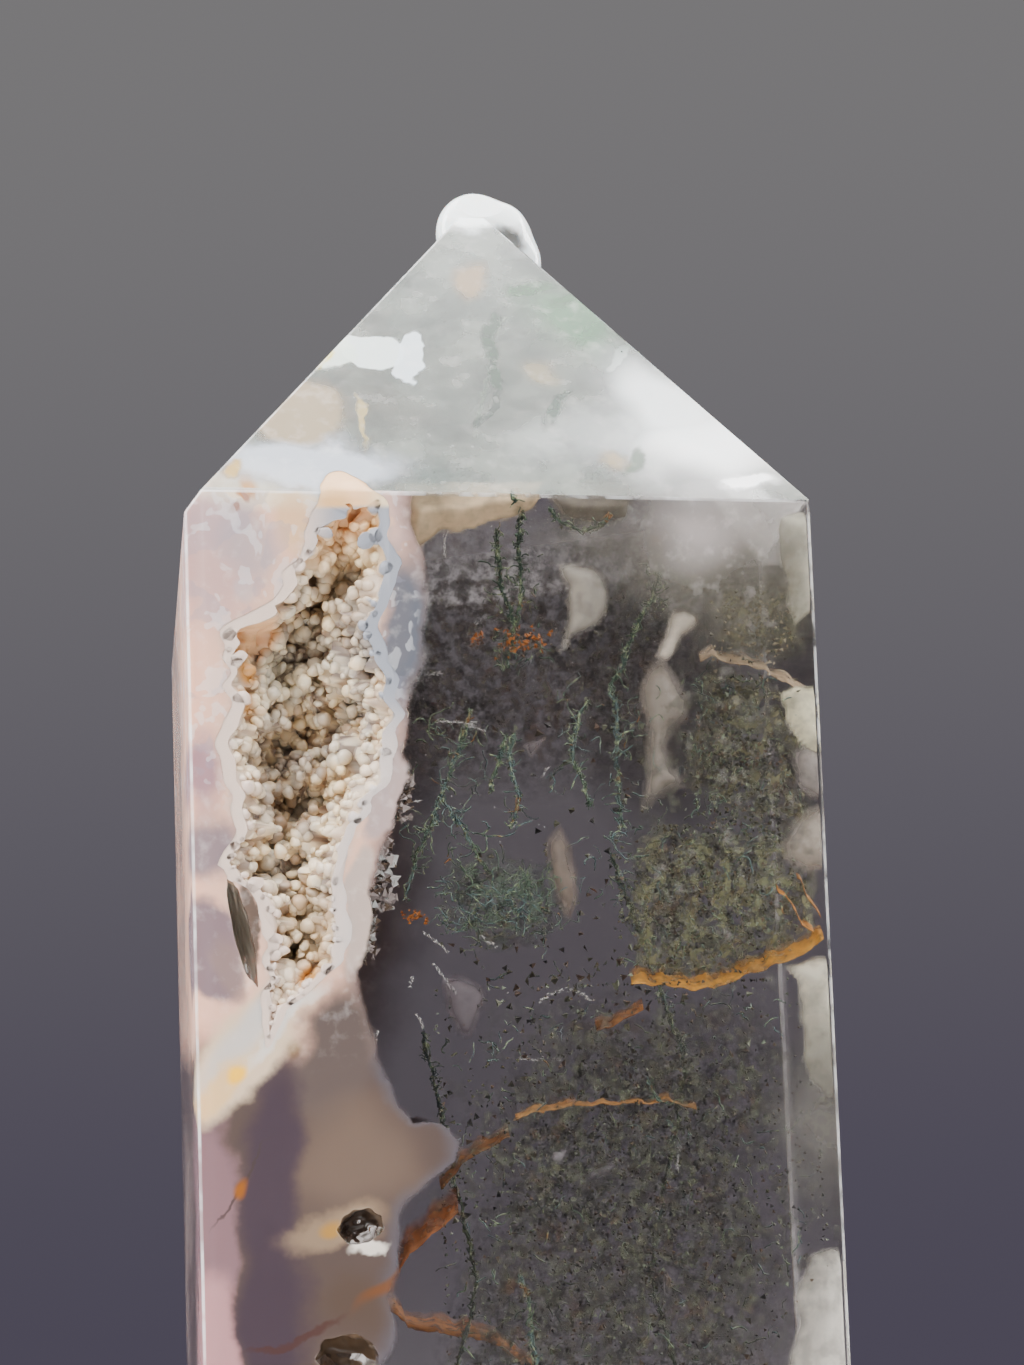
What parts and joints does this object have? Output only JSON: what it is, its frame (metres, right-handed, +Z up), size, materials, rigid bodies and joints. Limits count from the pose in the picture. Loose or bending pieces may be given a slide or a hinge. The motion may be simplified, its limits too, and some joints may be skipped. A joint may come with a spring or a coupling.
{
  "type": "druzy moss agate tower",
  "caption": "Polished square tower of moss agate that stands on a flat base, with a pyramid point, a natural rounded tip and a hollow lined with druzy quartz.",
  "frame": {"origin": "middle of the polished base, on the surface that the tower stands on", "axes": "+Z up along the tower; -Y is the way the face with the hollow looks; +X is to the right of someone looking at that face"},
  "size_m": [0.0286, 0.0266, 0.0925],
  "materials": {
    "moss_agate": "polished, partly see-through chalcedony with milky clouds and green moss",
    "druzy_quartz": "sugary cream crust of small round quartz lumps"
  },
  "bodies": {
    "root": {"agate_tower": "moss_agate", "druzy_crust": "druzy_quartz"}
  },
  "joints": []
}
